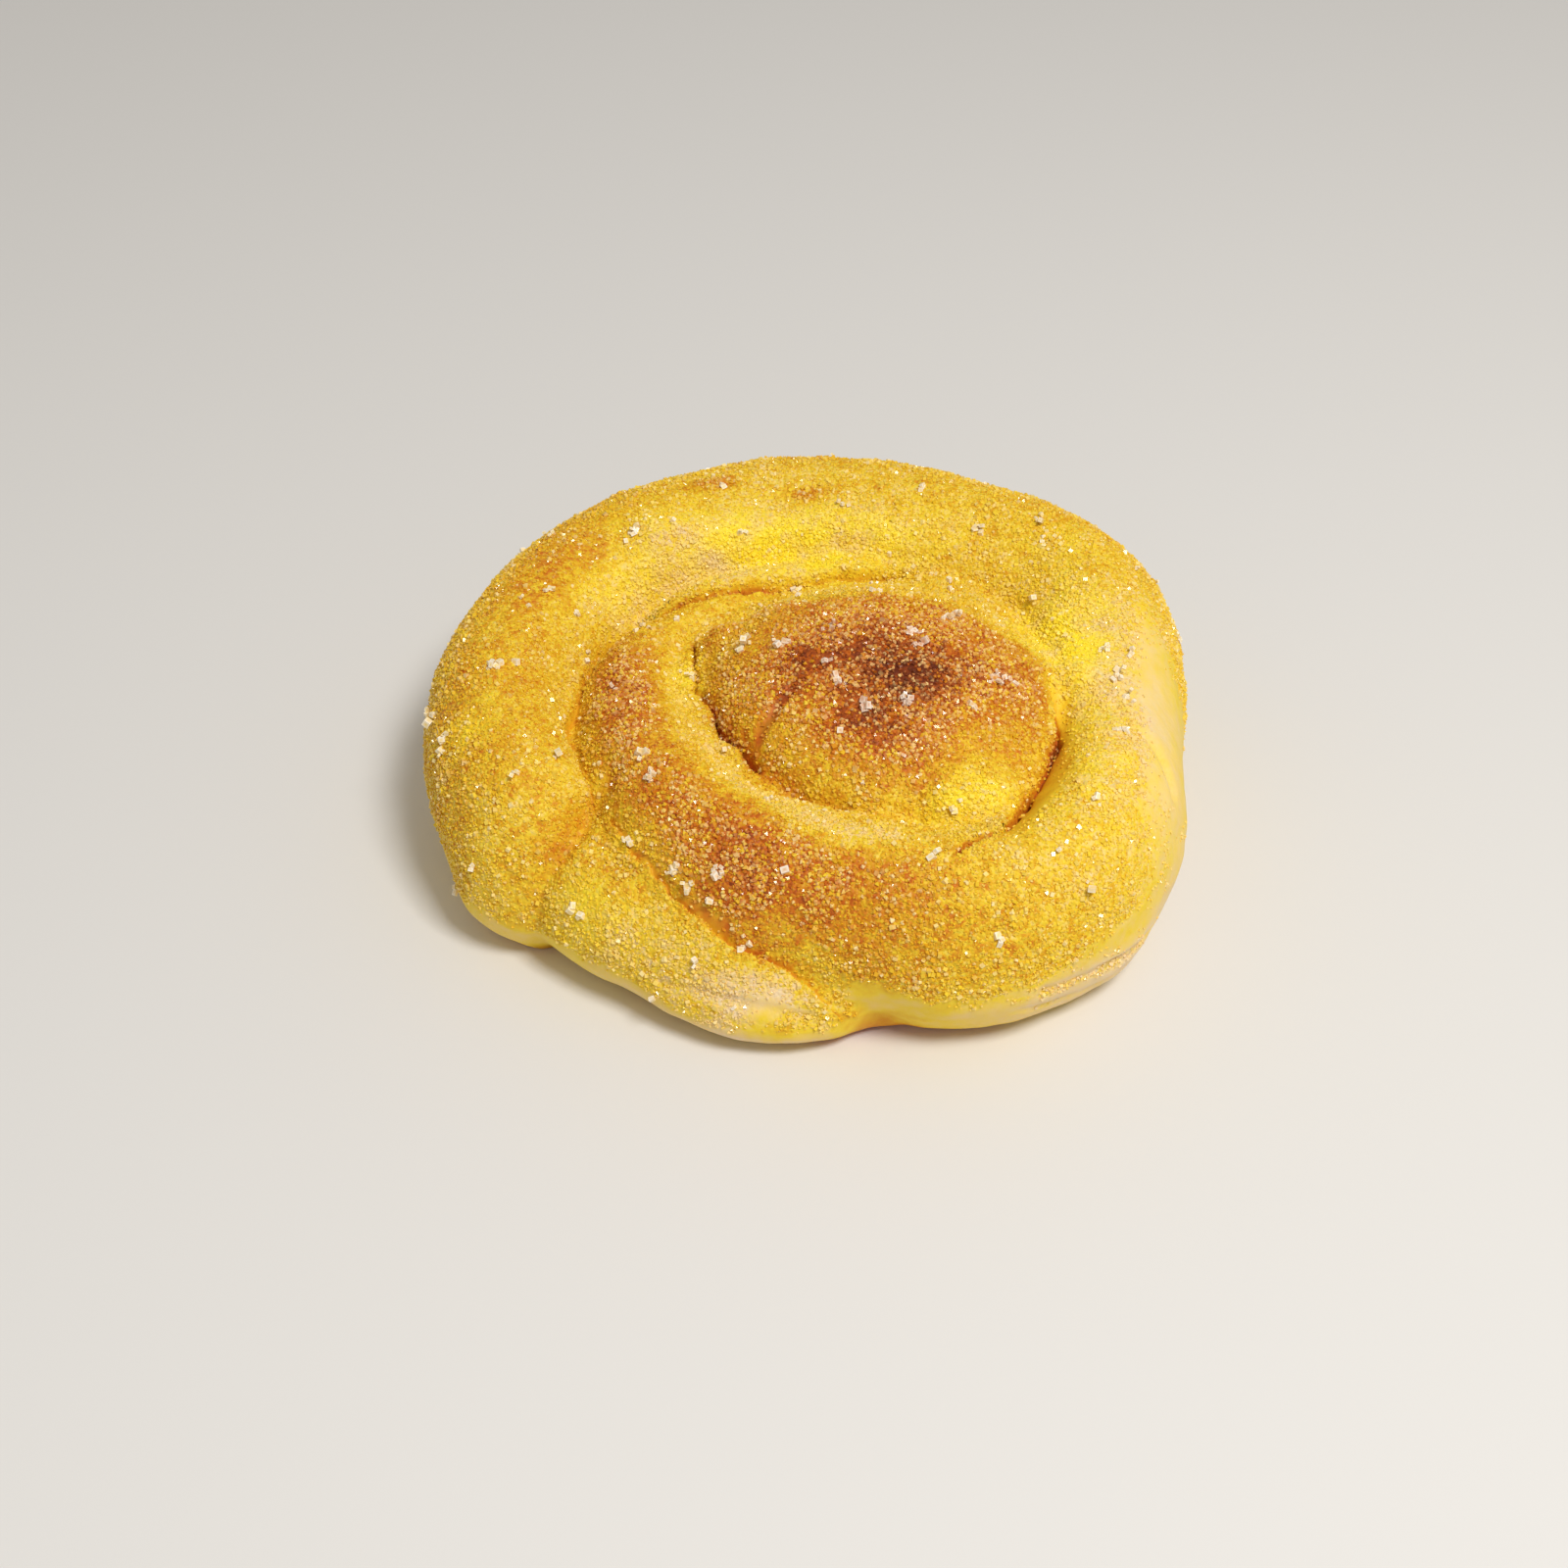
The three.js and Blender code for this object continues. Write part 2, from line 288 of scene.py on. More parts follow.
# The seams where the turns part: half width and depth in mm, how much browner, partly as
# painted shade in the groove, and the line in plan.
HEART_CRACKS = [
    (0.4, 1.6, 0.25, [(-16.5, 5.5), (-15.5, -5.5), (-12.5, -13)]),
    (0.75, 3, 0.35, [(-12.5, -13), (-10, -18), (-7, -22.5)]),
    (0.4, 1.8, 0.45, [(18.5, -42), (20.5, -41), (23, -39)]),
    (0.35, 1.8, 0.4, [(33, -15), (33, -19), (32, -22)]),
    (0.35, 1.8, 0.4, [(29.5, -27.5), (27.5, -31.5), (25.5, -35)]),
    (1.1, 1.2, 0.22, [(-2.5, -16), (-4, -17), (-5, -18.5), (-6.5, -20)]),
]
SEAMS = HEART_CRACKS + [
    (0.9, 1.2, 0.08, [(-7, -22.5), (-3.5, -26.5), (0.5, -29.5), (4.5, -32)]),
    (1.8, 1.8, 0.08, [(-26.5, -24.5), (-30, -28), (-33, -31.5), (-36.5, -34), (-39.5, -34.5)]),
    (0.4, 0.6, 0.1, [(-20.5, 26.5), (-20, 25), (-19.5, 23)]),
    (0.4, 0.6, 0.1, [(12.5, 32), (13, 29.5), (12, 27)]),
]
SEAM_HEIGHTS = (4, 10)
SEAM_BARER = 4  # a seam is this many times as much barer of sugar as it is browner
# The ledges where one turn laps over its neighbour, which lies on the left of the line: how far
# the edge stands up and the neighbour drops, over what width, how much browner (partly as painted
# shade on the flank) and barer the neighbour is there, the depth of the crack along the edge, and
# the line in plan.
LEDGES = [
    (0.4, 0.8, 2, 0.06, 0.4, 1.3, [
        (14, 21), (5, 21), (-2, 20), (-7, 19), (-12.5, 17.5), (-18, 15.5), (-23.5, 14.5),
    ]),
    (0.5, 1.2, 4.5, 0.03, 0.4, 0.35, [
        (-23.5, 14.5), (-28.5, 11), (-31, 5.5), (-33, -5), (-33.5, -13.5), (-29, -25.5),
    ]),
    (0.8, 1.4, 4, 0.08, 0.97, 0.8, [
        (33, -13.5), (33, -19), (31.5, -24), (29.5, -27), (27.5, -31.5), (25, -36),
    ]),
    (0.6, 0.8, 1.6, 0, 0, 0.3, [
        (-26.5, -29.5), (-24, -34.5), (-18, -41), (-10.5, -46), (-2, -49.5), (5, -52),
    ]),
]
LEDGE_HEIGHTS = (3, 8)
LEDGE_STEP = (0.3, -0.3)  # mm beside the line from which to which the edge stands up
LEDGE_DROP = (-0.2, 0.4)  # and from which to which the neighbour drops
LEDGE_CRACK = 0.35  # half width of the crack
# A crack is coloured darker the deeper it is: painted shade.
CRACK_PAINTED_SHADE = 0.38  # how much browner a crack is for each mm of its depth
CRACK_MARGIN = 1.6  # mm beside a crack in which the skin is made finer
# Wrinkles in the bare walls: half width, depth and the line in space.
WRINKLES = [
    (0.7, 0.7, [(30, -49.5, 10.5), (39, -44, 9.5), (43.5, -39.5, 8.5), (48.5, -32, 8)]),
    (0.6, 0.5, [(27, -51, 7.5), (35.5, -46, 5.5), (42, -40, 5)]),
    (0.7, 0.8, [
        (41, -14, 30), (43.5, -19.5, 28.5), (45.5, -20, 27.5), (47.5, -22.5, 25), (48.5, -25.5, 22.5),
    ]),
    (0.8, 0.5, [(-19, -46.5, 9), (-11, -50, 9.5), (-4.5, -51, 8.5), (1, -52, 7)]),
]
# Creases round the bare foot of the walls: the heading from the middle in degrees where one
# starts and ends, its height in mm at both, half width and depth.
FOOT_CREASES = [
    (-12, 24, 9, 6.5, 0.8, 0.5),
    (14, 46, 5, 7.5, 0.9, 0.6),
    (40, 78, 8.5, 6, 0.8, 0.5),
    (66, 104, 4.5, 5.5, 0.9, 0.6),
    (96, 128, 8, 6, 0.8, 0.5),
    (120, 152, 4.5, 6.5, 0.9, 0.6),
    (146, 172, 8.5, 6, 0.8, 0.5),
]
CREASE_WAVER = [(0.8, 6, 17)]  # as the swells
CREASE_END = 0.3  # share of its length over which a crease fades at each end
CREASE_FACING = (0.7, 0.3)


def wander(points, swell, shift):
    """Smooth noise from -1 to 1 at each point, with swells of the given size in mm."""
    return np.array([noise.noise(Vector(p)) for p in points / swell + shift])


def layered(points, layers):
    """Noise of several sizes added up, each with its strength, its size in mm and its shift."""
    return sum(strength * wander(points, swell, shift) for strength, swell, shift in layers)


def ragged_plan(points, sways, shifts):
    """Places in plan that sway from the true ones, so that what is drawn on them gets ragged."""
    plan = points[:, :2].copy()
    for axis, shift in enumerate(shifts):
        plan[:, axis] += layered(points, [(strength, swell, shift) for strength, swell in sways])
    return plan


def smooth_step(low, high, value):
    """0 up to low and 1 from high on, with an easy passage between. Low may be above high."""
    t = np.clip((value - low) / (high - low), 0, 1)
    return t * t * (3 - 2 * t)


def bell(away, half_width):
    """1 on a line, falling off softly over the half width."""
    return np.exp(-((away / half_width) ** 2))


def oval_spot(plan, centre, half_length, half_width, turn):
    """1 at a place in plan, falling off softly over an oval that is turned by degrees."""
    c, s = math.cos(math.radians(turn)), math.sin(math.radians(turn))
    from_centre = plan - np.array(centre)
    along = (from_centre @ np.array([c, s])) / half_length
    across = (from_centre @ np.array([-s, c])) / half_width
    return np.exp(-(along**2 + across**2))


def each_stretch(points, line):
    """The start and the run of each straight stretch of a line, and how far off each point is."""
    for a, b in zip(np.array(line[:-1]), np.array(line[1:])):
        along = b - a
        share = np.clip((points - a) @ along / (along @ along), 0, 1)
        yield a, along, np.linalg.norm(points - a - share[:, None] * along, axis=1)


def line_distance(points, line):
    """Distance from each point to a line of straight stretches, in plan or in space."""
    return np.min([away for _, _, away in each_stretch(points, line)], axis=0)


def beside_line(plan, line):
    """Distance in plan to a line of straight stretches, more than 0 on its left."""
    signed = np.full(len(plan), np.inf)
    for a, along, away in each_stretch(plan, line):
        left = np.sign(along[0] * (plan - a)[:, 1] - along[1] * (plan - a)[:, 0])
        signed = np.where(away < np.abs(signed), left * away, signed)
    return signed


def skin_of(mesh):
    """The places in mm and the normals of all points of a mesh."""
    return read_vectors(mesh.vertices, "co") / MM, read_vectors(mesh.vertices, "normal")


face_plan = read_vectors(dough.data.polygons, "center")[:, :2] / MM
fine_lines = [line for *_, line in HEART_CRACKS + LEDGES]
near_crack = np.min([line_distance(face_plan, line) for line in fine_lines], axis=0)
dough.data.vertices.foreach_set("select", np.zeros(len(dough.data.vertices), bool))
dough.data.edges.foreach_set("select", np.zeros(len(dough.data.edges), bool))
dough.data.polygons.foreach_set("select", near_crack < CRACK_MARGIN)
bpy.ops.object.mode_set(mode="EDIT")
bpy.ops.mesh.select_mode(type="FACE")
bpy.ops.mesh.subdivide()
bpy.ops.object.mode_set(mode="OBJECT")

places, normals = skin_of(dough.data)
fill = np.zeros(len(places))
for half_width, depth, line in FILLS:
    fill = np.maximum(fill, depth * bell(line_distance(places[:, :2], line), half_width))
fill *= smooth_step(*FILL_FACING, normals[:, 2])
places[:, 2] += fill
move_points(dough.data, places)
filled = dough.vertex_groups.new(name="filled")
for point in np.flatnonzero(fill > FILL_LEAST).tolist():
    filled.add([point], min(fill[point], 1), "REPLACE")
relax(FILL_PASSES, "filled")

places, normals = skin_of(dough.data)
height = places[:, 2]
inwards = COIL_CENTRE - places[:, :2]
inwards /= np.linalg.norm(inwards, axis=1)[:, None]
shaped = places.copy()
for centre, reach, depth in TUCKS:
    share = oval_spot(places[:, :2], centre, reach, reach, 0) * smooth_step(*TUCK_HEIGHTS, height)
    shaped[:, :2] += depth * share[:, None] * inwards
shaped += (layered(places, SWELLS) * smooth_step(*SWELL_HEIGHTS, height))[:, None] * normals
ragged = ragged_plan(places, LINE_SWAYS, LINE_SHIFTS)
seam_browning_and_shade = np.zeros(len(places))
bare_seam = np.zeros(len(places))
# Ledges and seams darken their flanks and cracks with browning that is partly painted shade.
for stands, drops, width, browner, barer, crack, line in LEDGES:
    beside = beside_line(ragged, line)
    above_foot = smooth_step(*LEDGE_HEIGHTS, height)
    near = bell(beside, width) * above_foot
    below = smooth_step(*LEDGE_DROP, beside) * near
    gap = bell(beside - LEDGE_CRACK, LEDGE_CRACK) * above_foot
    shaped[:, 2] += stands * smooth_step(*LEDGE_STEP, beside) * near - drops * below - crack * gap
    seam_browning_and_shade = np.maximum(seam_browning_and_shade, browner * below + CRACK_PAINTED_SHADE * crack * gap**2)
    bare_seam = np.maximum(bare_seam, np.maximum(barer * below, gap))
for half_width, depth, browner, line in SEAMS:
    cut = bell(line_distance(ragged, line), half_width) * smooth_step(*SEAM_HEIGHTS, height)
    shaped[:, 2] -= depth * cut
    seam_browning_and_shade = np.maximum(seam_browning_and_shade, browner * cut)
    bare_seam = np.maximum(bare_seam, min(SEAM_BARER * browner, 1) * cut)
for half_width, depth, line in WRINKLES:
    shaped -= depth * bell(line_distance(places, line), half_width)[:, None] * normals
heading = np.degrees(np.arctan2(places[:, 1], places[:, 0]))
waver = layered(places, CREASE_WAVER)
for start, end, start_height, end_height, half_width, depth in FOOT_CREASES:
    share = (heading - start) / (end - start)
    off = height - start_height - (end_height - start_height) * share + waver
    ends = smooth_step(0, CREASE_END, share) * smooth_step(1, 1 - CREASE_END, share)
    cut = bell(off, half_width) * ends * smooth_step(*CREASE_FACING, normals[:, 2])
    shaped -= (depth * cut)[:, None] * normals
move_points(dough.data, shaped)

# How far the skin is baked, from 0, raw cream, to 1, scorched. Each oval spot has its place in
# plan, half length, half width, turn in degrees, and how much it adds or, where pale, takes away.
UNDER_BAKE = 0.12  # of skin that faces down
TOP_BAKE = 0.25  # how much further the top is baked than that
TOP_FACING = (-0.6, 0.3)
BAKE_PATCHES = [(0.04, 9, 3), (0.06, 3.2, 8)]  # as the swells
BROWNED = [
    ((11, -9), 25, 16, 0, 0.13),
    ((10, -10.5), 18, 9, -5, 0.26),
    ((14, -14.5), 9, 5, 0, 0.3),
    ((-3, -11.5), 8, 4, 15, 0.18),
    ((9, -22), 10, 5, 0, 0.32),
    ((11, -27), 10, 4, 10, 0.12),
    ((-25, -9), 13, 5, 95, 0.34),
    ((-9, -45), 8, 4, -25, 0.11),
    ((-21, -27), 9, 5.5, -60, 0.16),
    ((-11, -38.5), 10, 6, -40, 0.32),
    ((0, -44), 10, 6, -20, 0.19),
    ((10, -46), 9, 6, -5, 0.1),
    ((16, -48), 12, 6, 0, 0.05),
    ((-42, -8), 18, 7, 95, 0.05),
    ((-37, 10), 10, 6, 60, 0.09),
    ((-42, -26), 8, 6, 90, 0.03),
    ((-34, 22), 12, 7, 50, 0.12),
    ((-18, 29), 9, 5, 0, 0.05),
    # The next two spots darken the tail's tip and its lower front: painted shade.
    ((3, -51.5), 6, 4, -10, 0.04),
    ((-7, -53.5), 12, 1.5, 5, 0.12),
    ((10, -4.5), 9, 4, 0, 0.1),
    ((-24, -37), 16, 6, -40, 0.05),
    ((-50, -14), 20, 6, 90, 0.05),
    ((0, 52), 45, 9, 0, 0.1),
    ((48, 24), 18, 7, -60, 0.06),
    ((25, -12), 5, 4, 0, 0.05),
    ((-13.5, 34.5), 3.5, 1.5, 10, 0.25),
    ((0, 33.5), 4, 1.5, -5, 0.25),
]
PALE = [
    ((-4, 26), 20, 6, 0, 0.14),
    ((16, 23), 14, 6, -15, 0.03),
    ((-3, 37), 16, 6, 0, 0.06),
    ((-28, 13.5), 9, 4, 50, 0.2),
    ((-42, -32), 6, 5, 0, 0.06),
    ((30, 18), 12, 8, -45, 0.02),
    # The next two spots are paler crust, partly a painted highlight on the right crest.
    ((36, 2), 9, 6, 100, 0.16),
    ((40, -10), 16, 7, 95, 0.18),
    ((34, -36), 16, 10, 40, 0.08),
    ((-15, -45), 14, 5, -25, 0.19),
    ((-6, -51), 9, 3.5, 0, 0.28),
    ((48, -15), 24, 5, 90, 0.2),
    ((-32.5, -8), 18, 3, 95, 0.07),
    ((-17.5, -4), 8, 2.6, 95, 0.12),
    ((-14.5, -16), 10, 2.6, 115, 0.18),
    ((-4, -31.5), 9, 2.6, -35, 0.16),
    ((7, -38.5), 9, 3, -20, 0.16),
    ((-11, 23.5), 12, 4, 8, 0.2),
    ((-28, -26), 5, 4, 0, 0.08),
]
# The foot of the walls is darkened a little as painted shade, is browner where it meets the tray, and is
# pale in these spots.
PALE_FOOT = [((41, -44), 16, 8, 42, 0.22), ((0, 48), 60, 18, 0, 0.2), ((5, -52), 6, 4, -20, 0.14)]
PALE_FOOT_HEIGHTS = (14, 8)
TRAY_BROWNER = 0.28
TRAY_HEIGHTS = (3.5, 0)
FOOT_PAINTED_SHADE = 0.1
FOOT_SHADE_HEIGHTS = (11, 3)
# The heart is browned right up to its back edge: this line in plan, with the heart on its right.
HEART_EDGE = [
    (-16.5, 5.5), (-12, 8.5), (-6, 8.5), (-1, 6), (4, 5), (11, 4), (17, 3),
    (22.5, 1), (26, -0.5), (30, -3), (32.5, -8), (33, -13.5),
]
EDGE_HALF_WIDTH = 6
EDGE_BROWNER = 0.15  # on the heart's side
EDGE_PALER = 0.06  # on the other side
EDGE_STEP = (-1, 1)  # mm beside the line over which the one changes to the other
EDGE_STARTS = (-18, -11)  # places across, in mm, from which to which the edge fades in
# Margarine that has run into the hollows: spots as above, with how yellow they are.
BUTTERED = [
    ((-3, 25), 22, 5, 0, 1.2),
    ((-26.5, 16.5), 9, 3.5, 45, 0.8),
    ((36, 1), 12, 6.5, 100, 1.3),
    ((38, -14), 10, 4, 95, 0.5),
    ((36, 20), 8, 5, -40, 0.5),
    ((-45, -16), 4.5, 3, 90, 0.8),
    ((-28.5, -39), 7, 3, -30, 0.5),
    ((-24, -34), 9, 3, -50, 0.4),
    ((-17, -2), 8, 2.2, 85, 0.8),
    ((-2, -24), 8, 2.5, -45, 0.4),
    ((20.5, -32), 8, 3, 10, 0.9),
    ((39, -30), 11, 6, 60, 0.55),
]
BUTTER_PATCHES = [(1, 3, 71)]  # as the swells
BUTTER_HOLD = 0.5  # how far much margarine evens these patches out
BUTTER_BREAK = (0.6, -0.8)  # the noise from which to which the margarine covers
# Where hardly any sugar sticks: spots as above, with the share that is missing.
BARE = [
    ((49, -14), 26, 7, 90, 1),
    ((31.5, -29), 8, 3, 63, 0.95),
    ((-5, -53), 8, 4, 0, 0.7),
    ((44, -37), 14, 5, 50, 0.5),
]
SUGAR_FACING = (-0.3, 0.35)
SUGAR_HEIGHTS = (1, 5)
SUGAR_PATCHES = [(1.2, 4, 33)]  # as the swells: they make the edge of the sugar ragged
SUGAR_BREAK = (0.15, 0.6)
SCORCHED = (0.75, 0.95)  # the bake from which to which sugar has melted away
SCORCHED_LOSS = 0.4
# How the edges of all these spots sway, as for the lines.
SPOT_SWAYS = [(0.6, 1.8), (1.4, 6)]
SPOT_SHIFTS = (12, 47)


def spots_on(plan, spots):
    """How strongly each spot of a list shows at each place in plan."""
    return [strength * oval_spot(plan, *oval) for *oval, strength in spots]


places, normals = skin_of(dough.data)
height = places[:, 2]
up = normals[:, 2]
ragged = ragged_plan(places, SPOT_SWAYS, SPOT_SHIFTS)
bake = UNDER_BAKE + TOP_BAKE * smooth_step(*TOP_FACING, up) + layered(places, BAKE_PATCHES)
bake += sum(spots_on(ragged, BROWNED)) - sum(spots_on(ragged, PALE))
bake -= sum(spots_on(ragged, PALE_FOOT)) * smooth_step(*PALE_FOOT_HEIGHTS, height)
bake += TRAY_BROWNER * smooth_step(*TRAY_HEIGHTS, height)
# Painted shade: the walls are darkened a little towards their foot.
bake += FOOT_PAINTED_SHADE * smooth_step(*FOOT_SHADE_HEIGHTS, height)
behind = beside_line(ragged, HEART_EDGE)
at_edge = bell(behind, EDGE_HALF_WIDTH) * smooth_step(*EDGE_STARTS, places[:, 0])
beyond_edge = smooth_step(*EDGE_STEP, behind)
# The seams' browning, partly painted shade, is added here too.
bake += at_edge * (EDGE_BROWNER * (1 - beyond_edge) - EDGE_PALER * beyond_edge) + seam_browning_and_shade
butter = np.max(spots_on(ragged, BUTTERED), axis=0)
butter *= smooth_step(*BUTTER_BREAK, layered(places, BUTTER_PATCHES) - BUTTER_HOLD * butter)
butter = np.clip(butter, 0, 1)
sugar = smooth_step(*SUGAR_FACING, up) * smooth_step(*SUGAR_HEIGHTS, height)
for bare in spots_on(ragged, BARE):
    sugar *= 1 - bare
sugar = smooth_step(*SUGAR_BREAK, sugar + layered(places, SUGAR_PATCHES) * sugar * (1 - sugar))
sugar *= (1 - SCORCHED_LOSS * smooth_step(*SCORCHED, bake)) * (1 - bare_seam)
bake = np.clip(bake, 0, 1)
for name, values in (("bake", bake), ("butter", butter), ("sugar", sugar)):
    layer = dough.data.attributes.new(name, "FLOAT", "POINT")
    layer.data.foreach_set("value", values)

# Baked egg dough under a coat of sugar: cream where it stayed pale, gold and then chestnut where
# the oven reached it, with margarine yellow in the hollows, and grainy wherever sugar sticks.
BAKE_STEPS = [
    (0, "#F0D4A6"),
    (0.15, "#F4D27C"),
    (0.3, "#F2D034"),
    (0.42, "#E7B524"),
    (0.55, "#DA901E"),
    (0.68, "#CB681A"),
    (0.82, "#A24A18"),
    (1, "#682A12"),
]
BUTTER_YELLOW = "#FFE434"
CRUST_PATCH = 1.4  # mm across the small uneven patches of the crust
CRUST_RELIEF = 0.15  # mm that these patches rise and fall
CRUST_DETAIL = 3  # octaves of their noise
CRUST_NOISE = (0.25, 0.75)  # the span of that noise
CRUST_UNEVEN = 0.05  # how much more or less a patch is baked
COAT_UNEVEN = 2.2  # how many times as much again where sugar sticks
GRAIN = 0.55  # mm across a grain of the sugar coat
GRAIN_RELIEF = 0.3  # mm that a grain stands up
GRAIN_BAKE = (-0.12, 0.1)  # how much paler or browner a grain is than the crust
GRAIN_STRENGTH = 0.7
DRY_ROUGHNESS = 0.5
BUTTER_ROUGHNESS = 0.28
DOUGH_GLOW = 1.2  # mm that light goes into the dough


def linear(hex_colour):
    """An sRGB hex colour as linear red, green, blue and alpha."""
    parts = [int(hex_colour[i : i + 2], 16) / 255 for i in (1, 3, 5)]
    return [p / 12.92 if p <= 0.04045 else ((p + 0.055) / 1.055) ** 2.4 for p in parts] + [1]


def add_node(material, kind, settings, inputs):
    """A shader node with its settings; an input is given a value or linked from a socket."""
    node = material.node_tree.nodes.new(kind)
    for name, value in settings.items():
        setattr(node, name, value)
    for name, value in inputs.items():
        if isinstance(value, bpy.types.NodeSocket):
            material.node_tree.links.new(value, node.inputs[name])
        else:
            node.inputs[name].default_value = value
    return node


dough_crust = bpy.data.materials.new("baked_egg_dough")
dough_crust.use_nodes = True
shader = dough_crust.node_tree.nodes["Principled BSDF"]
where = add_node(dough_crust, "ShaderNodeTexCoord", {}, {}).outputs["Object"]
baked, buttered, sugared = (
    add_node(dough_crust, "ShaderNodeAttribute", {"attribute_name": name}, {}).outputs["Fac"]
    for name in ("bake", "butter", "sugar")
)
patches = add_node(
    dough_crust,
    "ShaderNodeTexNoise",
    {},
    {"Vector": where, "Scale": 1 / (CRUST_PATCH * MM), "Detail": CRUST_DETAIL},
).outputs["Fac"]
uneven = add_node(
    dough_crust,
    "ShaderNodeMapRange",
    {},
    {
        "Value": patches,
        "From Min": CRUST_NOISE[0],
        "From Max": CRUST_NOISE[1],
        "To Min": -CRUST_UNEVEN,
        "To Max": CRUST_UNEVEN,
    },
).outputs["Result"]
grains = add_node(
    dough_crust, "ShaderNodeTexVoronoi", {}, {"Vector": where, "Scale": 1 / (GRAIN * MM), "Randomness": 1}
)
grain_tone = add_node(
    dough_crust, "ShaderNodeSeparateColor", {}, {"Color": grains.outputs["Color"]}
).outputs["Red"]
grain_bake = add_node(
    dough_crust,
    "ShaderNodeMapRange",
    {},
    {"Value": grain_tone, "To Min": GRAIN_BAKE[0], "To Max": GRAIN_BAKE[1]},
).outputs["Result"]
coat_bake = add_node(
    dough_crust,
    "ShaderNodeMath",
    {"operation": "MULTIPLY_ADD"},
    {0: uneven, 1: COAT_UNEVEN, 2: grain_bake},
).outputs[0]
grain_shift = add_node(
    dough_crust, "ShaderNodeMath", {"operation": "MULTIPLY_ADD"}, {0: coat_bake, 1: sugared, 2: uneven}
).outputs[0]
bake_here = add_node(
    dough_crust, "ShaderNodeMath", {"operation": "ADD"}, {0: baked, 1: grain_shift}
).outputs[0]
ramp = add_node(dough_crust, "ShaderNodeValToRGB", {}, {"Fac": bake_here})
for place, _ in BAKE_STEPS[1:-1]:
    ramp.color_ramp.elements.new(place)
for element, (place, colour) in zip(ramp.color_ramp.elements, BAKE_STEPS):
    element.position = place
    element.color = linear(colour)
# A mix of two colours takes its factor at 0 and the colours at 6 and 7, and gives the mix at 2.
with_butter = add_node(
    dough_crust,
    "ShaderNodeMix",
    {"data_type": "RGBA"},
    {0: buttered, 6: ramp.outputs["Color"], 7: linear(BUTTER_YELLOW)},
).outputs[2]
crust_height = add_node(
    dough_crust, "ShaderNodeMath", {"operation": "MULTIPLY"}, {0: patches, 1: -CRUST_RELIEF / GRAIN_RELIEF}
).outputs[0]
grain_height = add_node(
    dough_crust,
    "ShaderNodeMath",
    {"operation": "MULTIPLY_ADD"},
    {0: grains.outputs["Distance"], 1: sugared, 2: crust_height},
).outputs[0]
grain_bump = add_node(
    dough_crust,
    "ShaderNodeBump",
    {"invert": True},
    {"Height": grain_height, "Strength": GRAIN_STRENGTH, "Distance": GRAIN_RELIEF * MM},
).outputs["Normal"]
sheen = add_node(
    dough_crust,
    "ShaderNodeMapRange",
    {},
    {"Value": buttered, "To Min": DRY_ROUGHNESS, "To Max": BUTTER_ROUGHNESS},
).outputs["Result"]
dough_crust.node_tree.links.new(with_butter, shader.inputs["Base Color"])
dough_crust.node_tree.links.new(grain_bump, shader.inputs["Normal"])
dough_crust.node_tree.links.new(sheen, shader.inputs["Roughness"])
shader.inputs["IOR"].default_value = 1.4
shader.inputs["Specular IOR Level"].default_value = 0.3
shader.inputs["Subsurface Weight"].default_value = 0.12
shader.inputs["Subsurface Radius"].default_value = (1, 0.55, 0.25)
shader.inputs["Subsurface Scale"].default_value = DOUGH_GLOW * MM
dough.data.materials.clear()
dough.data.materials.append(dough_crust)

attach(dough, "root")
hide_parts("bun")

# The sugar: white granulated sugar, rolled on while the crust was still greasy with margarine.
# Fine grains cover the top, coarser crystals lie among them, and some have clumped together.
SEED = 41
draw = np.random.default_rng(SEED)
# The colours that crystals whiten to at their corners, partly cloudy sugar and partly painted glints.
WHITE_SUGAR = "#FFF8E8"
GOLDEN_SUGAR = "#FFE9AA"
CARAMEL_SUGAR = "#F6CF86"
# The shapes of single crystals, of half size 1: a sliver, a double pyramid, a block, and a block
# with a point in the middle of each side, so that its sides can be duller than its corners.
CHIP = np.array([(1, 1, 1), (1, -1, -1), (-1, 1, -1), (-1, -1, 1)], float)
CHIP_FACES = np.array([(0, 1, 2), (0, 3, 1), (0, 2, 3), (1, 3, 2)])
OCTAHEDRON = np.array([(1, 0, 0), (-1, 0, 0), (0, 1, 0), (0, -1, 0), (0, 0, 1), (0, 0, -1)], float)
OCTAHEDRON_FACES = np.array(
    [(0, 2, 4), (2, 1, 4), (1, 3, 4), (3, 0, 4), (2, 0, 5), (1, 2, 5), (3, 1, 5), (0, 3, 5)]
)
BLOCK = np.array([(x, y, z) for x in (-1, 1) for y in (-1, 1) for z in (-1, 1)], float)
BLOCK_SIDES = [(0, 1, 3, 2), (4, 6, 7, 5), (0, 4, 5, 1), (2, 3, 7, 6), (0, 2, 6, 4), (1, 5, 7, 3)]
BLOCK_FACES = np.array([face for a, b, c, d in BLOCK_SIDES for face in ((a, b, c), (a, c, d))])
SIDE_MIDDLES = [(-1, 0, 0), (1, 0, 0), (0, -1, 0), (0, 1, 0), (0, 0, -1), (0, 0, 1)]
FACETED = np.concatenate([BLOCK, SIDE_MIDDLES])
FACETED_FACES = np.array([
    (corner, following, len(BLOCK) + k)
    for k, side in enumerate(BLOCK_SIDES)
    for corner, following in zip(side, side[1:] + side[:1])
])
CRYSTAL_STRETCH = (0.7, 1.15)  # how far the three half sizes of a crystal differ
CRYSTAL_BROWNER = 0.08  # how much further than the crust a crystal may be browned
TONE_SPREAD = (0.5, 0.6)  # how far the tones differ anywhere, and how much more on brown crust
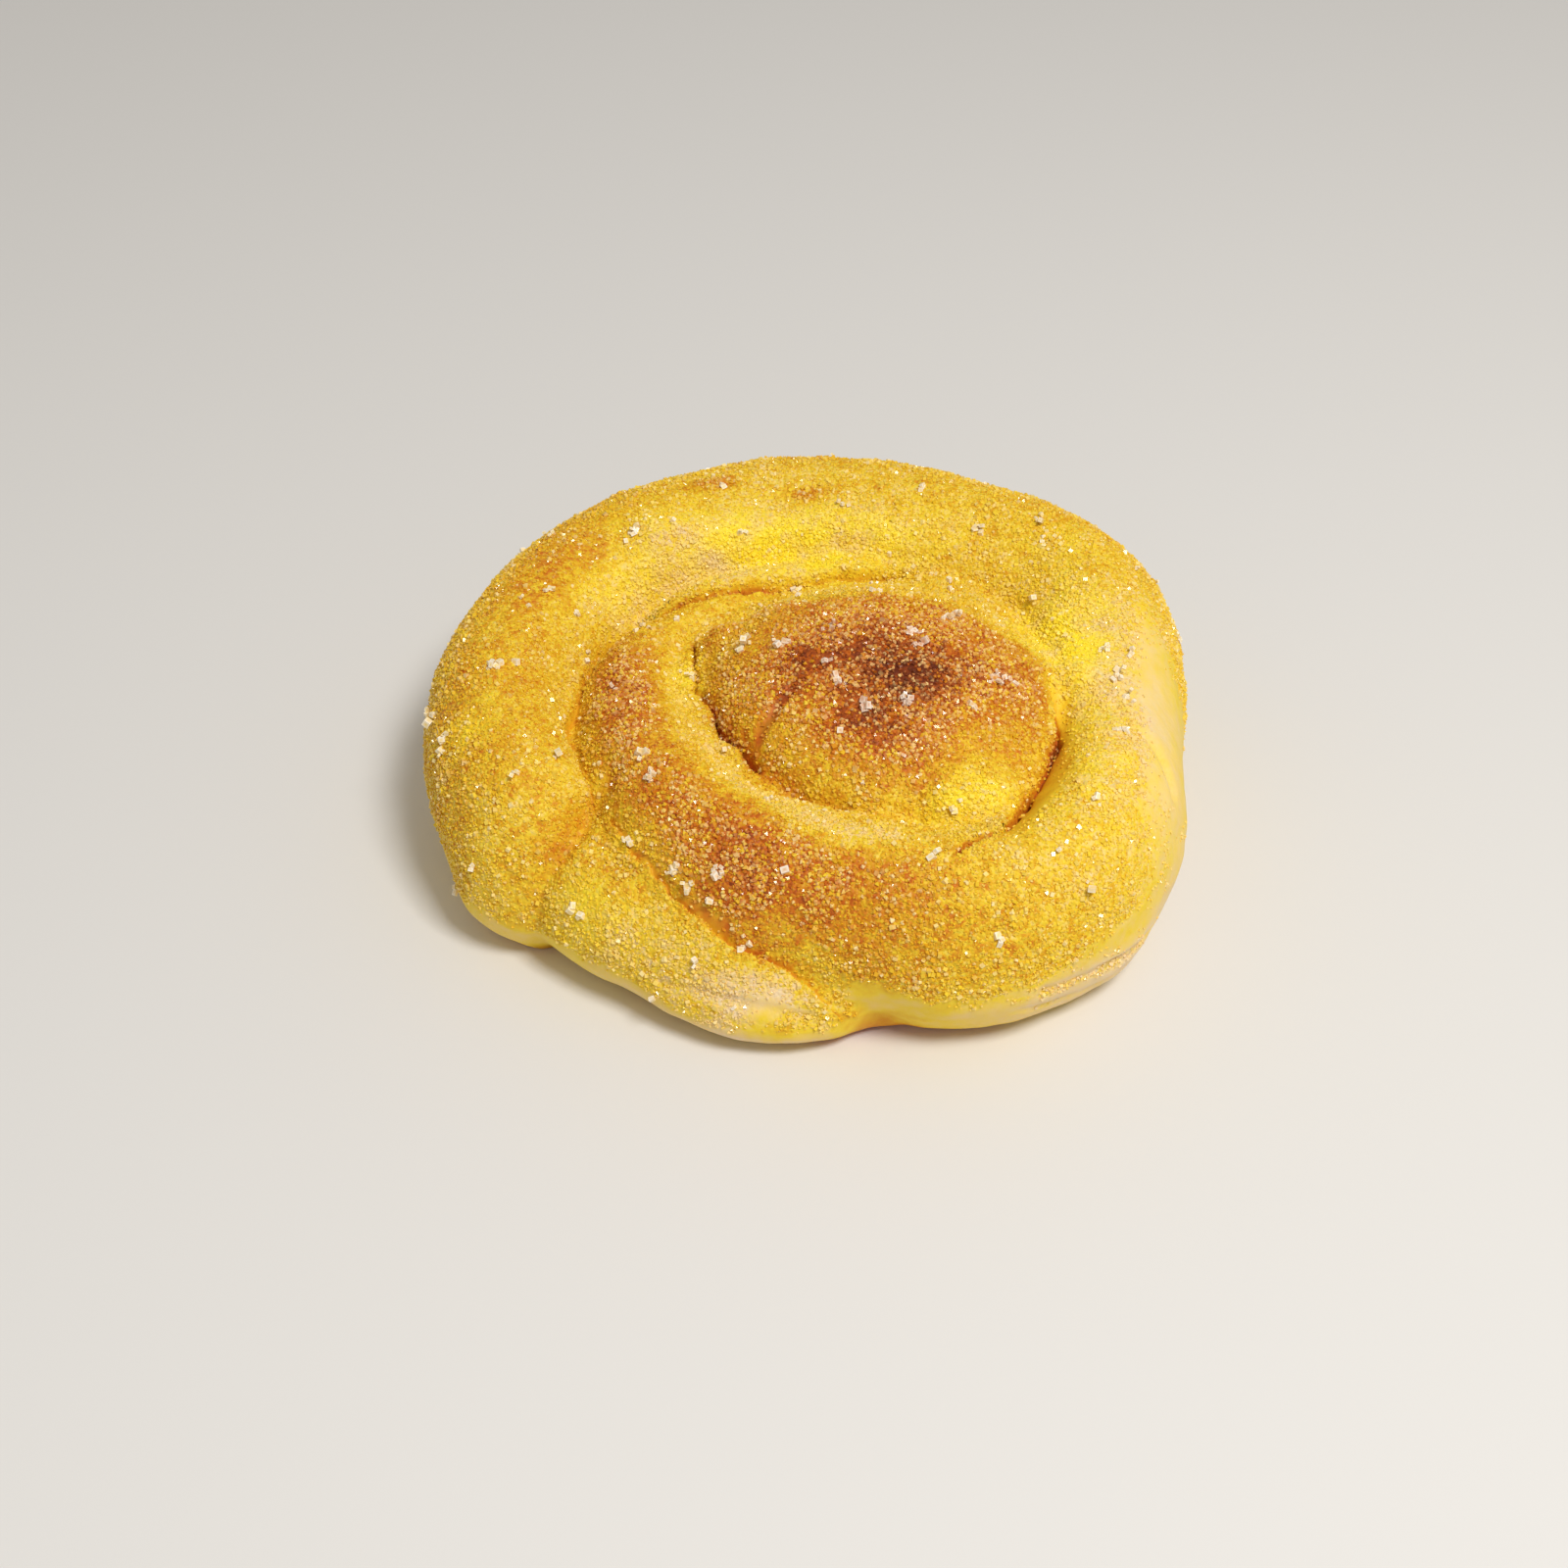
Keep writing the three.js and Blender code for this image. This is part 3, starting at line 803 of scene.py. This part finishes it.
# A crystal's whiteness stands partly for cloudy sugar and partly for painted glints.
WHITE_FEW = 3  # the power that keeps white crystals few
CLOUD_AND_GLINT = (0.4, 2)  # times its whiteness that a corner is clouded, up to all white
CLOUD_AND_GLINT_EDGE = 3  # the power that keeps the cloud in the corners
CARAMEL_BAKE = (0.48, 0.68)  # the bake from which to which sugar turns to caramel
# The coat is patchy: how thick it is on average, its patches as the swells, and its limits.
COAT_THICKNESS = 0.65
COAT_PATCHES = [(1.2, 4.5, 21)]
COAT_LIMITS = (0.08, 1.3)

# Clear sugar crystals: flat bright faces that glint, and the crust's own colour shining through.
sugar_crystal = bpy.data.materials.new("granulated_sugar")
sugar_crystal.use_nodes = True
sugar_shader = sugar_crystal.node_tree.nodes["Principled BSDF"]
tint = add_node(sugar_crystal, "ShaderNodeAttribute", {"attribute_name": "tint"}, {}).outputs["Color"]
sugar_crystal.node_tree.links.new(tint, sugar_shader.inputs["Base Color"])
sugar_shader.inputs["Roughness"].default_value = 0.09
sugar_shader.inputs["IOR"].default_value = 1.54
sugar_shader.inputs["Specular IOR Level"].default_value = 0.28


def drop_on_skin(weights, count):
    """Places and normals at spots spread by the weight of each point of the skin, and that point."""
    mesh = dough.data
    mesh.calc_loop_triangles()
    corners = np.empty(len(mesh.loop_triangles) * 3, int)
    mesh.loop_triangles.foreach_get("vertices", corners)
    corners = corners.reshape(-1, 3)
    a, b, c = (places[corners[:, k]] for k in range(3))
    area = np.linalg.norm(np.cross(b - a, c - a), axis=1) / 2
    share = np.cumsum(area * weights[corners].mean(axis=1))
    picks = (np.arange(count) + draw.random(count)) / count * share[-1]
    hit = np.minimum(np.searchsorted(share, picks), len(corners) - 1)
    u, v = draw.random((2, count))
    flip = u + v > 1
    u, v = np.where(flip, 1 - u, u), np.where(flip, 1 - v, v)
    mix = np.stack([1 - u - v, u, v], axis=1)
    at = np.einsum("nk,nkd->nd", mix, places[corners[hit]])
    facing = np.einsum("nk,nkd->nd", mix, normals[corners[hit]])
    return at, facing, corners[hit, 0]


def random_turns(count):
    """Rotation matrices with no favoured direction."""
    q = draw.normal(size=(count, 4))
    w, x, y, z = (q / np.linalg.norm(q, axis=1)[:, None]).T
    rows = [
        [1 - 2 * (y * y + z * z), 2 * (x * y - z * w), 2 * (x * z + y * w)],
        [2 * (x * y + z * w), 1 - 2 * (x * x + z * z), 2 * (y * z - x * w)],
        [2 * (x * z - y * w), 2 * (y * z + x * w), 1 - 2 * (x * x + y * y)],
    ]
    return np.moveaxis(np.array(rows), -1, 0)


def colour_at(points, shift):
    """The crust's linear colour at points of the skin, as its material has it, baked more by a shift."""
    steps = np.array([place for place, _ in BAKE_STEPS])
    tones = np.array([linear(colour)[:3] for _, colour in BAKE_STEPS])
    crust = np.stack([np.interp(bake[points] + shift, steps, tones[:, k]) for k in range(3)], axis=1)
    yellow = butter[points][:, None]
    return crust * (1 - yellow) + np.array(linear(BUTTER_YELLOW)[:3]) * yellow


def sugar_mesh(name, shape, faces, at, half_sizes, tone, shine, whiteness):
    """All crystals of one kind as one mesh, each turned at random, and whitened at its corners, partly as
    cloudy sugar and partly as painted glints.
    """
    count = len(at)
    turned = np.einsum("nij,nkj->nki", random_turns(count), shape[None] * half_sizes[:, None, :])
    points = (turned + at[:, None, :]) * MM
    corners = faces[None] + (np.arange(count) * len(shape))[:, None, None]
    mesh = bpy.data.meshes.new(name)
    mesh.vertices.add(count * len(shape))
    mesh.vertices.foreach_set("co", points.ravel())
    mesh.loops.add(corners.size)
    mesh.loops.foreach_set("vertex_index", corners.ravel())
    mesh.polygons.add(corners.size // 3)
    mesh.polygons.foreach_set("loop_start", np.arange(0, corners.size, 3))
    mesh.update(calc_edges=True)
    mesh.shade_flat()
    rim = np.linalg.norm(shape, axis=1) / np.linalg.norm(shape, axis=1).max()
    cloud_and_glint = whiteness[:, None] * draw.uniform(*CLOUD_AND_GLINT, (count, len(shape))) * rim**CLOUD_AND_GLINT_EDGE
    cloud_and_glint = np.clip(cloud_and_glint, 0, 1)[:, :, None]
    rgba = np.ones((count, len(shape), 4))
    rgba[:, :, :3] = tone[:, None, :] * (1 - cloud_and_glint) + shine[:, None, :] * cloud_and_glint
    layer = mesh.attributes.new("tint", "FLOAT_COLOR", "POINT")
    layer.data.foreach_set("color", rgba.ravel())
    piece = bpy.data.objects.new(name, mesh)
    bpy.context.collection.objects.link(piece)
    piece.data.materials.append(sugar_crystal)
    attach(piece, "root")


def strew(name, shape, faces, weights, count, half_size, paler, whiteness, sink):
    """Crystals strewn over the dough, sunk by a share of their size, in tones of the crust below."""
    at, facing, near = drop_on_skin(weights, count)
    size = draw.uniform(*half_size, count)
    half_sizes = size[:, None] * draw.uniform(*CRYSTAL_STRETCH, (count, 3))
    at = at + facing * (size * (1 - 2 * sink))[:, None]
    spread = TONE_SPREAD[0] + TONE_SPREAD[1] * brown[near]
    tone = colour_at(near, draw.uniform(-paler, CRYSTAL_BROWNER, count) * spread)
    shine = golden + (caramel - golden) * brown[near][:, None]
    white_share = whiteness * draw.random(count) ** WHITE_FEW
    sugar_mesh(name, shape, faces, at, half_sizes, tone, shine, white_share)


white, golden, caramel = (np.array(linear(c)[:3]) for c in (WHITE_SUGAR, GOLDEN_SUGAR, CARAMEL_SUGAR))
brown = smooth_step(*CARAMEL_BAKE, bake)
coat = sugar * np.clip(COAT_THICKNESS + layered(places, COAT_PATCHES), *COAT_LIMITS)
strew(
    "sugar_chips", CHIP, CHIP_FACES, sugar,
    count=40000, half_size=(0.12, 0.2), paler=0.2, whiteness=0.12, sink=0.4,
)
strew(
    "sugar_fine", OCTAHEDRON, OCTAHEDRON_FACES, coat,
    count=20000, half_size=(0.18, 0.33), paler=0.25, whiteness=0.25, sink=0.4,
)
strew(
    "sugar_crystals", BLOCK, BLOCK_FACES, coat**2,
    count=8000, half_size=(0.16, 0.3), paler=0.25, whiteness=0.65, sink=0.4,
)
strew(
    "sugar_crust", OCTAHEDRON, OCTAHEDRON_FACES, coat * brown,
    count=7000, half_size=(0.25, 0.45), paler=0.35, whiteness=0.85, sink=0.45,
)

# Clumps of crystals that caught each other: the places in plan of those that stand out, and loose
# small ones strewn between them.
CLUSTERS = [
    (-49, -15), (-49.5, -16.5), (-43.5, -6.5), (-36.5, 10), (-48, -26.5), (-15.5, -41), (-13, -43),
    (-17, -39.5), (-11.5, -41.5), (15.5, -8.5), (24.5, -14), (7, -20.5), (13, -20), (-25, 23.5),
    (-22.5, -24.5), (-21, -28), (-23.5, -33.5), (-8, -46.5), (3.5, -15.5), (-3, -7.5), (-8.5, -4.5),
    (14, -5.5), (19.5, -1.5), (3.5, -5), (25.5, 24), (34, 24), (41, -3.5), (42, -9), (43, -13),
]
CLUSTER_CRYSTALS = (4, 9)  # the fewest in a clump, and one more than the most
LOOSE_CLUSTERS = 70
LOOSE_CRYSTALS = (1, 5)
CLUSTER_SPREAD = 0.45  # mm that a crystal usually lies off the middle of its clump
CLUSTER_LIFT = 0.1  # mm that the clump lies above the skin
CLUSTER_HALF_SIZE = (0.2, 0.42)
CLUSTER_STRETCH = (0.6, 1.3)
CLUSTER_SHIFT = -0.15  # the bake of its crystals, against that of the crust
CLUSTER_CARAMEL = 0.2  # share of caramel in their tone
CLUSTER_WHITENESS = (0.5, 1)
CLUSTER_FACING = -0.2  # the least upward part of the normal where a clump is placed

top_points = np.flatnonzero(up > CLUSTER_FACING)
placed = []
for spot in CLUSTERS:
    off = np.linalg.norm(places[top_points, :2] - np.array(spot), axis=1)
    placed.append(top_points[np.argmin(off)])
_, _, loose = drop_on_skin(sugar**2, LOOSE_CLUSTERS)
in_placed = draw.integers(*CLUSTER_CRYSTALS, len(placed))
in_loose = draw.integers(*LOOSE_CRYSTALS, len(loose))
owner = np.repeat(np.concatenate([placed, loose]), np.concatenate([in_placed, in_loose]))
jumble = draw.normal(size=(len(owner), 3)) * CLUSTER_SPREAD
jumble -= np.minimum(0, np.einsum("nd,nd->n", jumble, normals[owner]))[:, None] * normals[owner]
stretch = draw.uniform(*CLUSTER_HALF_SIZE, (len(owner), 1))
stretch = stretch * draw.uniform(*CLUSTER_STRETCH, (len(owner), 3))
tone = colour_at(owner, CLUSTER_SHIFT) * (1 - CLUSTER_CARAMEL) + caramel * CLUSTER_CARAMEL
sugar_mesh(
    "sugar_clusters",
    FACETED,
    FACETED_FACES,
    at=places[owner] + jumble + CLUSTER_LIFT * normals[owner],
    half_sizes=stretch,
    tone=tone,
    shine=np.broadcast_to(white, tone.shape),
    whiteness=draw.uniform(*CLUSTER_WHITENESS, len(owner)),
)

# The stage: a broad flat board with a coat of matt, warm light grey paint, that the dough lies
# on. It is not part of the object.
BOARD_SIZE = 6  # m
BOARD_PAINT = "#E4E1DC"
bpy.ops.object.select_all(action="DESELECT")
bpy.ops.mesh.primitive_plane_add(size=BOARD_SIZE)
floor = bpy.context.object
floor.name = "table_top"
# Matt emulsion paint: an even tone with no glints, which shows soft shadows.
painted_board = bpy.data.materials.new("painted_board")
painted_board.use_nodes = True
board_shader = painted_board.node_tree.nodes["Principled BSDF"]
board_shader.inputs["Base Color"].default_value = linear(BOARD_PAINT)
board_shader.inputs["Roughness"].default_value = 0.6
floor.data.materials.append(painted_board)

# The light and the view: one soft lamp high at the front right, a weak warm sky that fills the
# shadows, and a camera that looks down from the front.
LAMP_PLACE = Vector((0.25, -0.33, 0.71))
LAMP_AIM = Vector((0, 0, 0.02))
LAMP_SIZE = 0.22  # m
LAMP_ENERGY = 4.65  # W
SKY_TINT = (1, 0.97, 0.93, 1)  # linear
SKY_STRENGTH = 0.4
CAMERA_TARGET = Vector((-3.25, -24.8, 24)) * MM
CAMERA_DISTANCE = 318 * MM
CAMERA_HEIGHT = math.radians(40)
CAMERA_LENS = 55  # mm
CAMERA_SENSOR = 36  # mm
bpy.ops.object.light_add(type="AREA", location=LAMP_PLACE)
lamp = bpy.context.object
lamp.data.size = LAMP_SIZE
lamp.data.energy = LAMP_ENERGY
lamp.rotation_euler = (LAMP_AIM - LAMP_PLACE).to_track_quat("-Z", "Y").to_euler()

sky = bpy.data.worlds.new("studio")
bpy.context.scene.world = sky
sky.use_nodes = True
sky.node_tree.nodes["Background"].inputs["Color"].default_value = SKY_TINT
sky.node_tree.nodes["Background"].inputs["Strength"].default_value = SKY_STRENGTH
bpy.context.scene.view_settings.view_transform = "Standard"

sight = Vector((0, math.cos(CAMERA_HEIGHT), -math.sin(CAMERA_HEIGHT)))
bpy.ops.object.camera_add(
    location=CAMERA_TARGET - CAMERA_DISTANCE * sight,
    rotation=(math.pi / 2 - CAMERA_HEIGHT, 0, 0),
)
camera = bpy.context.object
camera.data.lens = CAMERA_LENS
camera.data.sensor_width = CAMERA_SENSOR
bpy.context.scene.camera = camera
